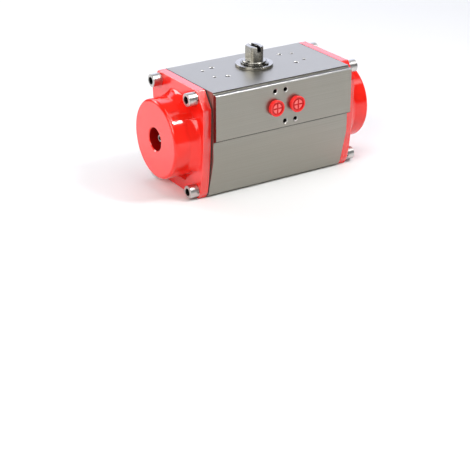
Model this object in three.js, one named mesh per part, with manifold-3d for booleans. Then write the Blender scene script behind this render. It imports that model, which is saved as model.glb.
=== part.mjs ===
// Rack-and-pinion pneumatic quarter-turn actuator with spring return.
// Units are millimetres. The origin is where the drive shaft's axis meets the base plane.
// +Z runs up the drive shaft, +X along the cylinder, and -Y out of the face that holds the air ports.
import * as THREE from "three";
import { mergeVertices } from "three/addons/utils/BufferGeometryUtils.js";
import Module from "manifold-3d";

const wasm = await Module();
wasm.setup();

// ---- Driving dimensions ----
const PLAY = 0.3; // clearance kept between neighbouring pieces
const SMALL_PLAY = 0.2; // between pieces that are clamped together
const BEYOND = 1; // how far a cutting tool reaches past what it cuts
const WELD = 1e-4; // vertices closer than this are one vertex

const BODY_LENGTH = 156.8;
const BODY_HEIGHT = 110;
const BORE_HEIGHT = 55; // cylinder axis above the base
const BORE_RADIUS = 42;
const TOP_HALF_WIDTH = 37;
const SHOULDER = { halfWidth: 48.5, height: 93.5 }; // widest point of the cap outline
const TAPER = { controlHalfWidth: 47.4, controlHeight: 34, endHalfWidth: 40.6, endHeight: 6 };
const FOOT_HALF_WIDTH = 36.5;

const PORT_FACE = 55.4; // distance of the port face from the shaft's axis
// Its lower edge is rounded off, and runs back and down to the lower front: [distance, height].
const PORT_FACE_FOOT = [
  [55.4, 63.6],
  [55, 62.6],
  [54.2, 61.9],
  [50.2, 59.8],
];
const LEDGE = { front: 54, top: 108.3, edge: 50, chamferFoot: 106.9 };
const LOWER_FRONT = { depth: 50.2, bend: 41, footDepth: 40.5, footHeight: 4, soleDepth: 37 };
// Where the shaft passes through the roof and the floor of the bore.
const SHAFT_HOLES = {
  upper: { radius: 15, floor: 90 },
  counterbore: { radius: 18.4, floor: 108.3 },
  lower: { radius: 20, roof: 20 },
};

const PORT_SPACING = 24;
const PORT_HEIGHT = 84.7;
const PORT_RADIUS = 5.9;
const PORT_A_FLOOR = 26; // distance of its inner end from the shaft's axis
const AIR_CHANNEL = { y: -44, z: 86.5, radius: 3, portFloor: 45 };
const CHANNEL_SLOT = { depth: 4, inner: -25, halfHeight: 2.5 };
const VALVE_HOLES = { offset: 16, radius: 2.1, depth: 9 }; // above and below the ports
const ACCESSORY_HOLES = { x: 40, y: 15, radius: 2.1, depth: 10 };
const SMALL_TOP_HOLES = { x: 52.4, y: 11, radius: 1.65, depth: 8 };
const BASE_HOLES = { circle: 70, radius: 3.4, depth: 14 };
const SMALL_BASE_HOLES = { circle: 50, radius: 2.5, depth: 10 };

const GASKET_THICKNESS = 0.8;
const FLANGE_THICKNESS = 8.4;
const OVERALL_HALF_LENGTH = 113.7;
const BOSS_RADIUS = 39.5;
const BOSS_EDGE = 2.8;
// The flared foot of the boss: [distance beyond the boss's radius, distance out of the flange].
const BOSS_FOOT = [
  [6, 0],
  [3.8, 2.5],
  [1.6, 9],
  [0, 15],
];
const BOSS_FOOT_THICKNESS = 2; // of the part of the foot that lies inside the boss
const SPRING_CHAMBER_RADIUS = 34.4;
const BOSS_WALL = 5;
const RECESS_RADIUS = 11.5;
const RECESS_DEPTH = 20;
const RECESS_WALL = 4;
const RECESS_FLOOR = 8;
const SCREW_POCKET_RADIUS = 21;

const CAP_SCREW = { y: 33.5, offset: 46.8, radius: 4, length: 30, threadPlay: 0.25, passage: 4.5 };
const CAP_SCREW_HEAD = { radius: 6.5, height: 7.8, bevel: 0.8, socket: 6, socketDepth: 4 };
const GASKET_HOLE_RADIUS = 4.6;
const WASHER = { thickness: 1.8, inner: 4.4, outer: 6.5, splitFrom: 3, splitTo: 8, splitHalf: 0.4 };
const STOP_SCREW = { radius: 4, end: 108.2, tip: 75.5, point: 1, bevel: 0.6, socket: 4, socketDepth: 4 };
const STOP_NUT = { acrossFlats: 13, height: 6.5 };

const TEETH = 16;
const MODULE = 2;
const PITCH_RADIUS = (TEETH * MODULE) / 2;
const PRESSURE_ANGLE = THREE.MathUtils.degToRad(20);
const GEAR = { tip: 17.6, root: 13.3, bottom: 38, top: 72 };
const RACK = { addendum: 1.6, dedendum: 2.2, bottom: 39.5, top: 70.5, end: -30.5 };
const BACKLASH = 0.2; // taken off each tooth's thickness at the pitch line

const PISTON = { inner: 33, outer: 50, radius: 41.6, groove: 38.9, armRadius: 39, seatDepth: 2 };
const SPRING_SEAT = { inner: 17.5, outer: 33 };
// The head's two grooves, as distances from its inner face.
const SEAL_GROOVE = [3, 8];
const GUIDE_GROOVE = [10.5, 15];
const SEAL_RADIUS = 41.8;
const GUIDE_RADIUS = 41.75;
const GUIDE_PAD = { from: -26, to: -6, half: 11 };
const OUTER_SPRING = { radius: 29, wire: 5, turns: 5.5 };
const INNER_SPRING = { radius: 21, wire: 4, turns: 6.5 };
const SPRING_END_PLAY = 0.8;

const SHAFT_TOP = 130;
const SHAFT_RADIUS = 9;
const SHAFT_BEVEL = 0.8;
const SHAFT_FLATS = { across: 14, foot: 116.5 };
const SHAFT_SLOT = { width: 4, depth: 5 };
const SHAFT_HOLE = { radius: 2.5, depth: 16 };
const UPPER_JOURNAL = { radius: 12, top: 115.5, bottom: 97.5 };
const LOWER_JOURNAL = { radius: 18.2, bottom: 1, top: 26 };
const NECK_RADIUS = 13.2;
const DRIVE_SOCKET = { acrossFlats: 17, depth: 19 };
const CIRCLIP = { inner: 11.5, outer: 13.5, bottom: 113, top: 114.2, halfOpening: 22 };
const CIRCLIP_GROOVE = { radius: 11.2, bottom: 112.9, top: 114.3 };
const CIRCLIP_LUG = { radius: 15.1, angle: 20, hole: 0.8, holeCircle: 13.15 };
const DISC = { radius: 18.75, bottom: 110.3, top: 112.6 };
const THRUST_RING = { radius: 18.1, bottom: 108.5, top: 110.1 };
const UPPER_BUSH = { radius: 14.8, bottom: 98, top: 103 };
const UPPER_SEAL = { radius: 14.8, bottom: 103.4, top: 106.4 };
const LOWER_BUSH = { radius: 19.8, bottom: 3.5, top: 9 };
const LOWER_SEAL = { radius: 19.8, bottom: 9.4, top: 12.4 };

const PLUG = { rim: 8, collar: 7.6, groove: 7, stem: 5.6, recess: 6.4, pads: 5.3 }; // radii
// How far out of the port face each step of the plug is.
const PLUG_STEPS = { stem: -8, stemBevel: -7, collar: 1.5, groove: 2.3, pads: 4.2, rim: 4.4 };
const PLUG_STEM_BEVEL = 0.6;
const PLUG_RIM_BEVEL = 0.5;
const PLUG_RECESS_DEPTH = 1.2;
const PLUG_CROSS_HALF = 0.7; // half the width of the gaps between the pads

// Sides of round shapes, from the largest to the smallest.
const MANY = 36;
const SOME = 24;
const SEVERAL = 16;
const FEW = 12;
const FEWEST = 8;
const OUTLINE_STEPS = 6; // of each curve in the outlines of body and cap
const SPRING_SIDES = 5;
const SPRING_STEPS_PER_TURN = 9;

// ---- Finishes ----
const finish = (color, roughness, metalness) =>
  new THREE.MeshStandardMaterial({ color, roughness, metalness });
const finishes = {
  aluminium: finish(0xb9b6b0, 0.38, 1),
  redCoat: finish(0xe8231a, 0.3, 0),
  redPlastic: finish(0xe02018, 0.4, 0),
  stainless: finish(0xcfcfcc, 0.22, 1),
  steel: finish(0x9a9ca0, 0.35, 1),
  springSteel: finish(0x50555c, 0.45, 1),
  castAluminium: finish(0xa9abad, 0.55, 1),
  rubber: finish(0x141414, 0.7, 0),
  whitePlastic: finish(0xe6e2d6, 0.5, 0),
};

// ---- Solids ----
// A closed geometry with its shared vertices merged, as a solid that can be joined and cut.
function solidOf(geometry) {
  geometry.deleteAttribute("normal");
  geometry.deleteAttribute("uv");
  const merged = mergeVertices(geometry, WELD);
  const corners = merged.index.array;
  const kept = [];
  for (let i = 0; i < corners.length; i += 3) {
    const [a, b, c] = [corners[i], corners[i + 1], corners[i + 2]];
    if (a !== b && b !== c && c !== a) kept.push(a, b, c);
  }
  return new wasm.Manifold(
    new wasm.Mesh({
      numProp: 3,
      vertProperties: merged.attributes.position.array,
      triVerts: new Uint32Array(kept),
    }),
  );
}

function cut(solid, ...tools) {
  return tools.reduce((left, tool) => left.subtract(tool), solid);
}

function join(solid, ...others) {
  return others.reduce((sum, other) => sum.add(other), solid);
}

function meshOf(name, solid, material) {
  const { vertProperties, triVerts } = solid.getMesh();
  const shared = new THREE.BufferGeometry();
  shared.setAttribute("position", new THREE.BufferAttribute(vertProperties, 3));
  shared.setIndex(new THREE.BufferAttribute(triVerts, 1));
  const geometry = shared.toNonIndexed();
  geometry.computeVertexNormals();
  const mesh = new THREE.Mesh(geometry, material);
  mesh.name = name;
  return mesh;
}

// Turns a geometry made along +Y so that it lies along the named axis.
const lay = {
  x: (geometry) => geometry.rotateZ(-Math.PI / 2),
  y: (geometry) => geometry,
  z: (geometry) => geometry.rotateX(Math.PI / 2),
};

// A rod along one axis, from one coordinate to another, through the point (a, b) of the other two axes.
function rod(axis, radius, from, to, sides, a = 0, b = 0) {
  const geometry = lay[axis](new THREE.CylinderGeometry(radius, radius, to - from, sides));
  const middle = (from + to) / 2;
  const place = { x: [middle, a, b], y: [a, middle, b], z: [a, b, middle] }[axis];
  return solidOf(geometry.translate(...place));
}

function block(x0, x1, y0, y1, z0, z1) {
  const geometry = new THREE.BoxGeometry(x1 - x0, y1 - y0, z1 - z0);
  return solidOf(geometry.translate((x0 + x1) / 2, (y0 + y1) / 2, (z0 + z1) / 2));
}

// A turned piece: its profile is a list of [radius, position along the axis], in either direction.
function turned(axis, profile, sides, height = 0) {
  const points = profile.map(([radius, along]) => new THREE.Vector2(radius, along));
  if (THREE.ShapeUtils.area(points) < 0) points.reverse();
  const onAxis = points[0].x === 0 && points.at(-1).x === 0;
  if (!onAxis) points.push(points[0].clone());
  const geometry = lay[axis](new THREE.LatheGeometry(points, sides));
  return solidOf(geometry.translate(0, 0, height));
}

function ring(axis, inner, outer, from, to, sides, height = 0) {
  const profile = [[inner, from], [outer, from], [outer, to], [inner, to]];
  return turned(axis, profile, sides, height);
}

// A shape drawn in (y, z) and extruded along +X.
function plateX(shape, from, to) {
  const depth = to - from;
  const curveSegments = OUTLINE_STEPS;
  const geometry = new THREE.ExtrudeGeometry(shape, { depth, bevelEnabled: false, curveSegments });
  const axes = new THREE.Matrix4().makeBasis(
    new THREE.Vector3(0, 1, 0),
    new THREE.Vector3(0, 0, 1),
    new THREE.Vector3(1, 0, 0),
  );
  return solidOf(geometry.applyMatrix4(axes).translate(from, 0, 0));
}

// A shape drawn in (x, y) and extruded along +Z.
function plateZ(shape, from, to) {
  const depth = to - from;
  const curveSegments = SEVERAL;
  const geometry = new THREE.ExtrudeGeometry(shape, { depth, bevelEnabled: false, curveSegments });
  return solidOf(geometry.translate(0, 0, from));
}

// A hexagon prism along X, its flats facing +Y and -Y.
function hexagonX(acrossFlats, from, to, y = 0, z = 0) {
  const radius = acrossFlats / 2 / Math.cos(Math.PI / 6);
  return rod("x", radius, from, to, 6, y, z);
}

// ---- Housing ----
const BODY_END = BODY_LENGTH / 2;
const GASKET_INNER = BODY_END + SMALL_PLAY;
const FLANGE_INNER = GASKET_INNER + GASKET_THICKNESS + SMALL_PLAY;
const FLANGE_OUTER = FLANGE_INNER + FLANGE_THICKNESS;
const SEAT = OVERALL_HALF_LENGTH - BOSS_WALL;
const RECESS_BOTTOM = OVERALL_HALF_LENGTH - RECESS_DEPTH;
const BOTH = [-1, 1];

// The places of the four screws of one cap, as [y, z].
const capScrewPlaces = BOTH.flatMap((up) =>
  BOTH.map((side) => [side * CAP_SCREW.y, BORE_HEIGHT + up * CAP_SCREW.offset]),
);

// Draws the outline's +Y side, from the sole up to the top face, onto a shape that stands at the sole.
function drawBackSide(shape) {
  shape.lineTo(FOOT_HALF_WIDTH, 0);
  shape.lineTo(TAPER.endHalfWidth, TAPER.endHeight);
  shape.quadraticCurveTo(
    TAPER.controlHalfWidth,
    TAPER.controlHeight,
    SHOULDER.halfWidth,
    SHOULDER.height,
  );
  shape.lineTo(TOP_HALF_WIDTH, BODY_HEIGHT);
}

function bodyShape() {
  const shape = new THREE.Shape();
  shape.moveTo(-LOWER_FRONT.soleDepth, 0);
  drawBackSide(shape);
  shape.lineTo(-LEDGE.edge, BODY_HEIGHT);
  shape.lineTo(-LEDGE.edge, LEDGE.top);
  shape.lineTo(-LEDGE.front, LEDGE.top);
  shape.lineTo(-PORT_FACE, LEDGE.chamferFoot);
  for (const [distance, height] of PORT_FACE_FOOT) shape.lineTo(-distance, height);
  shape.lineTo(-LOWER_FRONT.depth, LOWER_FRONT.bend);
  shape.lineTo(-LOWER_FRONT.footDepth, LOWER_FRONT.footHeight);
  return shape;
}

// The cap's outline, the same on both sides of the XZ plane.
function capShape() {
  const shape = new THREE.Shape();
  shape.moveTo(-FOOT_HALF_WIDTH, 0);
  drawBackSide(shape);
  shape.lineTo(-TOP_HALF_WIDTH, BODY_HEIGHT);
  shape.lineTo(-SHOULDER.halfWidth, SHOULDER.height);
  shape.quadraticCurveTo(
    -TAPER.controlHalfWidth,
    TAPER.controlHeight,
    -TAPER.endHalfWidth,
    TAPER.endHeight,
  );
  return shape;
}

function holesOnCircle({ circle, radius, depth }) {
  return [45, 135, 225, 315].map((degrees) => {
    const angle = THREE.MathUtils.degToRad(degrees);
    const [x, y] = [(circle / 2) * Math.cos(angle), (circle / 2) * Math.sin(angle)];
    return rod("z", radius, -BEYOND, depth, FEW, x, y);
  });
}

function topHoles({ x, y, radius, depth }) {
  const [floor, over] = [BODY_HEIGHT - depth, BODY_HEIGHT + BEYOND];
  return BOTH.flatMap((i) => BOTH.map((j) => rod("z", radius, floor, over, FEW, i * x, j * y)));
}

// Port A opens into the middle of the bore, port B into a channel that leads to both ends of the bore.
function airPassages() {
  const { y, z, radius, portFloor } = AIR_CHANNEL;
  const { depth, inner, halfHeight } = CHANNEL_SLOT;
  const half = PORT_SPACING / 2;
  const over = BODY_END + BEYOND;
  const slots = BOTH.map((side) => {
    const [low, high] = [side * (BODY_END - depth), side * over].sort((a, b) => a - b);
    return block(low, high, y, inner, z - halfHeight, z + halfHeight);
  });
  return [
    rod("y", PORT_RADIUS, -PORT_FACE - BEYOND, -PORT_A_FLOOR, FEW, -half, PORT_HEIGHT),
    rod("y", PORT_RADIUS, -PORT_FACE - BEYOND, -portFloor, FEW, half, PORT_HEIGHT),
    rod("x", radius, -over, over, FEW, y, z),
    ...slots,
  ];
}

function valveHoles() {
  const half = PORT_SPACING / 2;
  const { offset, radius, depth } = VALVE_HOLES;
  const places = [
    [-half, offset],
    [0, offset],
    [0, -offset],
    [half, -offset],
  ];
  const [over, floor] = [-PORT_FACE - BEYOND, -PORT_FACE + depth];
  return places.map(([x, up]) => rod("y", radius, over, floor, FEW, x, PORT_HEIGHT + up));
}

function makeBody() {
  const screwDepth = CAP_SCREW.length - FLANGE_THICKNESS;
  const screwRadius = CAP_SCREW.radius + CAP_SCREW.threadPlay;
  const past = BODY_END + BEYOND;
  const screwHoles = BOTH.flatMap((side) => {
    const [low, high] = [side * (BODY_END - screwDepth), side * past].sort((a, b) => a - b);
    return capScrewPlaces.map(([y, z]) => rod("x", screwRadius, low, high, FEW, y, z));
  });
  const { upper, counterbore, lower } = SHAFT_HOLES;
  const over = BODY_HEIGHT + BEYOND;
  return cut(
    plateX(bodyShape(), -BODY_END, BODY_END),
    rod("x", BORE_RADIUS, -past, past, MANY, 0, BORE_HEIGHT),
    rod("z", upper.radius, upper.floor, over, SOME),
    rod("z", counterbore.radius, counterbore.floor, over, SOME),
    rod("z", lower.radius, -BEYOND, lower.roof, SOME),
    ...screwHoles,
    ...airPassages(),
    ...valveHoles(),
    ...topHoles(ACCESSORY_HOLES),
    ...topHoles(SMALL_TOP_HOLES),
    ...holesOnCircle(BASE_HOLES),
    ...holesOnCircle(SMALL_BASE_HOLES),
  );
}

function makeGasket() {
  const holes = capScrewPlaces.map(([y, z]) =>
    rod("x", GASKET_HOLE_RADIUS, BODY_END, FLANGE_OUTER, FEW, y, z),
  );
  return cut(
    plateX(capShape(), GASKET_INNER, GASKET_INNER + GASKET_THICKNESS),
    rod("x", BORE_RADIUS, BODY_END, FLANGE_OUTER, MANY, 0, BORE_HEIGHT),
    ...holes,
  );
}

// The flared foot of the boss, with a pocket round each screw so that a key can reach its head.
function bossFoot() {
  const inner = BOSS_RADIUS - BOSS_FOOT_THICKNESS;
  const flare = BOSS_FOOT.map(([wider, out]) => [BOSS_RADIUS + wider, FLANGE_OUTER + out]);
  const [widest, end] = [flare[0][0], flare.at(-1)[1]];
  const root = FLANGE_OUTER - BEYOND;
  const profile = [[inner, root], [widest, root], ...flare, [inner, end]];
  const pockets = capScrewPlaces.map(([y, z]) =>
    rod("x", SCREW_POCKET_RADIUS, FLANGE_OUTER, OVERALL_HALF_LENGTH, SOME, y, z),
  );
  return cut(turned("x", profile, MANY, BORE_HEIGHT), ...pockets);
}

function makeEndCap() {
  const edge = BOSS_EDGE * Math.SQRT1_2;
  const boss = turned(
    "x",
    [
      [0, FLANGE_INNER + BEYOND],
      [BOSS_RADIUS, FLANGE_INNER + BEYOND],
      [BOSS_RADIUS, OVERALL_HALF_LENGTH - BOSS_EDGE],
      [BOSS_RADIUS - BOSS_EDGE + edge, OVERALL_HALF_LENGTH - BOSS_EDGE + edge],
      [BOSS_RADIUS - BOSS_EDGE, OVERALL_HALF_LENGTH],
      [0, OVERALL_HALF_LENGTH],
    ],
    MANY,
    BORE_HEIGHT,
  );
  const shell = join(plateX(capShape(), FLANGE_INNER, FLANGE_OUTER), boss, bossFoot());
  const tube = RECESS_RADIUS + RECESS_WALL;
  const chamber = turned(
    "x",
    [
      [0, FLANGE_INNER - BEYOND],
      [SPRING_CHAMBER_RADIUS, FLANGE_INNER - BEYOND],
      [SPRING_CHAMBER_RADIUS, SEAT],
      [tube, SEAT],
      [tube, RECESS_BOTTOM - RECESS_FLOOR],
      [0, RECESS_BOTTOM - RECESS_FLOOR],
    ],
    MANY,
    BORE_HEIGHT,
  );
  const over = OVERALL_HALF_LENGTH + BEYOND;
  const holes = capScrewPlaces.map(([y, z]) =>
    rod("x", CAP_SCREW.passage, BODY_END, FLANGE_OUTER + BEYOND, FEW, y, z),
  );
  return cut(
    shell,
    chamber,
    rod("x", RECESS_RADIUS, RECESS_BOTTOM, over, SOME, 0, BORE_HEIGHT),
    rod("x", STOP_SCREW.radius + PLAY, BODY_END, over, FEW, 0, BORE_HEIGHT),
    ...holes,
  );
}

// A socket head cap screw along X, its head outwards.
function makeCapScrew([y, z]) {
  const { radius, height, bevel, socket, socketDepth } = CAP_SCREW_HEAD;
  const under = FLANGE_OUTER + WASHER.thickness + 2 * SMALL_PLAY;
  const top = under + height;
  const profile = [
    [0, under - CAP_SCREW.length],
    [CAP_SCREW.radius, under - CAP_SCREW.length],
    [CAP_SCREW.radius, under],
    [radius, under],
    [radius, top - bevel],
    [radius - bevel, top],
    [0, top],
  ];
  const screw = turned("x", profile, FEW).translate([0, y, z]);
  return cut(screw, hexagonX(socket, top - socketDepth, top + BEYOND, y, z));
}

// A spring lock washer, split on its outer side.
function makeLockWasher([y, z]) {
  const { thickness, inner, outer, splitFrom, splitTo, splitHalf } = WASHER;
  const from = FLANGE_OUTER + SMALL_PLAY;
  const to = from + thickness;
  const outwards = Math.sign(y);
  const [low, high] = [outwards * splitFrom, outwards * splitTo].sort((a, b) => a - b);
  const split = block(from - BEYOND, to + BEYOND, low, high, -splitHalf, splitHalf);
  return cut(ring("x", inner, outer, from, to, FEW), split).translate([0, y, z]);
}

function makeStopScrew() {
  const { radius, tip, end, point, bevel, socket, socketDepth } = STOP_SCREW;
  const profile = [
    [0, tip],
    [radius - point, tip],
    [radius, tip + point],
    [radius, end - bevel],
    [radius - bevel, end],
    [0, end],
  ];
  const hexagon = hexagonX(socket, end - socketDepth, end + BEYOND, 0, BORE_HEIGHT);
  return cut(turned("x", profile, FEW, BORE_HEIGHT), hexagon);
}

function makeStopNut() {
  const from = RECESS_BOTTOM + PLAY;
  const to = from + STOP_NUT.height;
  const hexagon = hexagonX(STOP_NUT.acrossFlats, from, to, 0, BORE_HEIGHT);
  const radius = STOP_SCREW.radius + PLAY;
  return cut(hexagon, rod("x", radius, from - BEYOND, to + BEYOND, FEW, 0, BORE_HEIGHT));
}

// ---- Pistons and springs ----
const PITCH = Math.PI * MODULE;
const STROKE = (PITCH_RADIUS * Math.PI) / 2;

// The rack arm's outline in (x, y), with the teeth that the stroke brings to the pinion.
function rackShape() {
  const slope = Math.tan(PRESSURE_ANGLE);
  const halfThickness = PITCH / 4 - BACKLASH / 2;
  const rootY = -PITCH_RADIUS - RACK.dedendum;
  const tipY = -PITCH_RADIUS + RACK.addendum;
  const backY = -BORE_RADIUS;
  const shape = new THREE.Shape();
  shape.moveTo(PISTON.inner + BEYOND, backY);
  shape.lineTo(PISTON.inner + BEYOND, rootY);
  const reach = STROKE / PITCH;
  for (let tooth = 1; tooth >= -reach - 1; tooth--) {
    const middle = (tooth + 0.5) * PITCH;
    const atRoot = halfThickness + RACK.dedendum * slope;
    const atTip = halfThickness - RACK.addendum * slope;
    shape.lineTo(middle + atRoot, rootY);
    shape.lineTo(middle + atTip, tipY);
    shape.lineTo(middle - atTip, tipY);
    shape.lineTo(middle - atRoot, rootY);
  }
  shape.lineTo(RACK.end, rootY);
  shape.lineTo(RACK.end, backY);
  return shape;
}

function makePiston() {
  const { inner, outer, radius, groove, armRadius, seatDepth } = PISTON;
  const steps = [SEAL_GROOVE, GUIDE_GROOVE].flatMap(([from, to]) => [
    [radius, inner + from],
    [groove, inner + from],
    [groove, inner + to],
    [radius, inner + to],
  ]);
  const profile = [
    [0, inner],
    [radius, inner],
    ...steps,
    [radius, outer],
    [SPRING_SEAT.outer, outer],
    [SPRING_SEAT.outer, outer - seatDepth],
    [SPRING_SEAT.inner, outer - seatDepth],
    [SPRING_SEAT.inner, outer],
    [0, outer],
  ];
  const head = turned("x", profile, MANY, BORE_HEIGHT);
  const arm = plateZ(rackShape(), RACK.bottom, RACK.top).intersect(
    rod("x", armRadius, RACK.end - BEYOND, inner + BEYOND, MANY, 0, BORE_HEIGHT),
  );
  return join(head, arm);
}

function pistonRing([from, to], outerRadius) {
  const [low, high] = [PISTON.inner + from + PLAY, PISTON.inner + to - PLAY];
  return ring("x", PISTON.groove + SMALL_PLAY, outerRadius, low, high, MANY, BORE_HEIGHT);
}

// A curved wear pad on the arm's back, which slides on the bore.
function makeGuidePad() {
  const { from, to, half } = GUIDE_PAD;
  const inner = PISTON.armRadius + SMALL_PLAY;
  return ring("x", inner, GUIDE_RADIUS, from, to, MANY, BORE_HEIGHT).intersect(
    block(from - BEYOND, to + BEYOND, -BORE_RADIUS, 0, BORE_HEIGHT - half, BORE_HEIGHT + half),
  );
}

class Helix extends THREE.Curve {
  constructor(radius, from, to, turns) {
    super();
    Object.assign(this, { radius, from, to, turns });
  }
  getPoint(t, target = new THREE.Vector3()) {
    const angle = t * this.turns * 2 * Math.PI;
    const x = THREE.MathUtils.lerp(this.from, this.to, t);
    const [y, z] = [Math.cos(angle), Math.sin(angle)].map((part) => part * this.radius);
    return target.set(x, y, BORE_HEIGHT + z);
  }
}

function makeSpring({ radius, wire, turns }) {
  const from = PISTON.outer - PISTON.seatDepth + SPRING_END_PLAY + wire / 2;
  const to = SEAT - SPRING_END_PLAY - wire / 2;
  const corners = Array.from({ length: SPRING_SIDES }, (_, side) => {
    const angle = (side * 2 * Math.PI) / SPRING_SIDES;
    return new THREE.Vector2(Math.cos(angle), Math.sin(angle)).multiplyScalar(wire / 2);
  });
  const extrudePath = new Helix(radius, from, to, turns);
  const steps = Math.round(turns * SPRING_STEPS_PER_TURN);
  return solidOf(new THREE.ExtrudeGeometry(new THREE.Shape(corners), { extrudePath, steps }));
}

// ---- Pinion and the pieces round it ----
// The pinion's outline: involute flanks, radial below the base circle.
function gearShape() {
  const baseRadius = PITCH_RADIUS * Math.cos(PRESSURE_ANGLE);
  const involute = (angle) => Math.tan(angle) - angle;
  const atPitch = Math.PI / 2 / TEETH - BACKLASH / 2 / PITCH_RADIUS;
  const halfAngle = (radius) => {
    const pressure = Math.acos(Math.min(1, baseRadius / radius));
    return atPitch + involute(PRESSURE_ANGLE) - involute(pressure);
  };
  const flank = [GEAR.root, baseRadius, PITCH_RADIUS, GEAR.tip];
  const at = (radius, angle) => {
    return new THREE.Vector2(radius * Math.cos(angle), radius * Math.sin(angle));
  };
  const points = Array.from({ length: TEETH }, (_, tooth) => {
    const middle = (tooth * 2 * Math.PI) / TEETH;
    const sides = [-1, 1].map((side) =>
      flank.map((radius) => at(radius, middle + side * halfAngle(Math.max(radius, baseRadius)))),
    );
    return [...sides[0], ...sides[1].reverse()];
  });
  return new THREE.Shape(points.flat());
}

function makePinion() {
  const profile = [
    [0, LOWER_JOURNAL.bottom],
    [LOWER_JOURNAL.radius, LOWER_JOURNAL.bottom],
    [LOWER_JOURNAL.radius, LOWER_JOURNAL.top],
    [NECK_RADIUS, LOWER_JOURNAL.top],
    [NECK_RADIUS, UPPER_JOURNAL.bottom],
    [UPPER_JOURNAL.radius, UPPER_JOURNAL.bottom],
    [UPPER_JOURNAL.radius, CIRCLIP_GROOVE.bottom],
    [CIRCLIP_GROOVE.radius, CIRCLIP_GROOVE.bottom],
    [CIRCLIP_GROOVE.radius, CIRCLIP_GROOVE.top],
    [UPPER_JOURNAL.radius, CIRCLIP_GROOVE.top],
    [UPPER_JOURNAL.radius, UPPER_JOURNAL.top - SHAFT_BEVEL],
    [UPPER_JOURNAL.radius - SHAFT_BEVEL, UPPER_JOURNAL.top],
    [SHAFT_RADIUS, UPPER_JOURNAL.top],
    [SHAFT_RADIUS, SHAFT_TOP - SHAFT_BEVEL],
    [SHAFT_RADIUS - SHAFT_BEVEL, SHAFT_TOP],
    [0, SHAFT_TOP],
  ];
  const shaft = join(turned("z", profile, SOME), plateZ(gearShape(), GEAR.bottom, GEAR.top));
  const flat = SHAFT_FLATS.across / 2;
  const [out, over] = [SHAFT_RADIUS + BEYOND, SHAFT_TOP + BEYOND];
  const slotHalf = SHAFT_SLOT.width / 2;
  const half = DRIVE_SOCKET.acrossFlats / 2;
  const socketRoof = LOWER_JOURNAL.bottom + DRIVE_SOCKET.depth;
  const square = block(-half, half, -half, half, -BEYOND, socketRoof);
  return cut(
    shaft,
    block(flat, out, -out, out, SHAFT_FLATS.foot, over),
    block(-out, -flat, -out, out, SHAFT_FLATS.foot, over),
    block(-slotHalf, slotHalf, -out, out, SHAFT_TOP - SHAFT_SLOT.depth, over),
    rod("z", SHAFT_HOLE.radius, SHAFT_TOP - SHAFT_HOLE.depth, over, FEW),
    square,
    square.rotate([0, 0, 45]),
  );
}

// An external circlip, open towards -Y, with a lug at each end.
function makeCirclip() {
  const { inner, outer, bottom, top } = CIRCLIP;
  const halfOpening = THREE.MathUtils.degToRad(CIRCLIP.halfOpening);
  const lug = THREE.MathUtils.degToRad(CIRCLIP_LUG.angle);
  const start = -Math.PI / 2 + halfOpening;
  const end = (3 * Math.PI) / 2 - halfOpening;
  const at = (radius, angle) => [radius * Math.cos(angle), radius * Math.sin(angle)];
  const shape = new THREE.Shape();
  shape.moveTo(...at(inner, start));
  shape.lineTo(...at(CIRCLIP_LUG.radius, start));
  shape.lineTo(...at(CIRCLIP_LUG.radius, start + lug));
  shape.absarc(0, 0, outer, start + lug, end - lug, false);
  shape.lineTo(...at(CIRCLIP_LUG.radius, end - lug));
  shape.lineTo(...at(CIRCLIP_LUG.radius, end));
  shape.lineTo(...at(inner, end));
  shape.absarc(0, 0, inner, end, start, true);
  const holes = [start + lug / 2, end - lug / 2].map((angle) => {
    const [x, y] = at(CIRCLIP_LUG.holeCircle, angle);
    return rod("z", CIRCLIP_LUG.hole, bottom - BEYOND, top + BEYOND, FEWEST, x, y);
  });
  return cut(plateZ(shape, bottom, top), ...holes);
}

// A ring that runs on one of the shaft's journals.
function runningRing(journal, { radius, bottom, top }, sides = SOME) {
  return ring("z", journal.radius + PLAY, radius, bottom, top, sides);
}

// ---- Port plugs ----
// A push-in plug along Y, with four raised pads in its recessed face.
function makePlug(x) {
  const at = (out) => -PORT_FACE - SMALL_PLAY - out;
  const { stem, stemBevel, collar, groove, pads, rim } = PLUG_STEPS;
  const recess = rim - PLUG_RECESS_DEPTH;
  const profile = [
    [0, at(stem)],
    [PLUG.stem - PLUG_STEM_BEVEL, at(stem)],
    [PLUG.stem, at(stemBevel)],
    [PLUG.stem, at(0)],
    [PLUG.collar, at(0)],
    [PLUG.collar, at(collar)],
    [PLUG.groove, at(collar)],
    [PLUG.groove, at(groove)],
    [PLUG.rim, at(groove)],
    [PLUG.rim, at(rim - PLUG_RIM_BEVEL)],
    [PLUG.rim - PLUG_RIM_BEVEL, at(rim)],
    [PLUG.recess, at(rim)],
    [PLUG.recess, at(recess)],
    [0, at(recess)],
  ];
  const [half, out] = [PLUG_CROSS_HALF, PLUG.rim];
  const raised = cut(
    rod("y", PLUG.pads, at(pads), at(recess - BEYOND), SEVERAL),
    block(-half, half, at(pads + BEYOND), at(recess), -out, out),
    block(-out, out, at(pads + BEYOND), at(recess), -half, half),
  );
  return join(turned("y", profile, SEVERAL), raised).translate([x, 0, PORT_HEIGHT]);
}

// ---- Assembly ----
const actuator = new THREE.Group();

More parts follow.
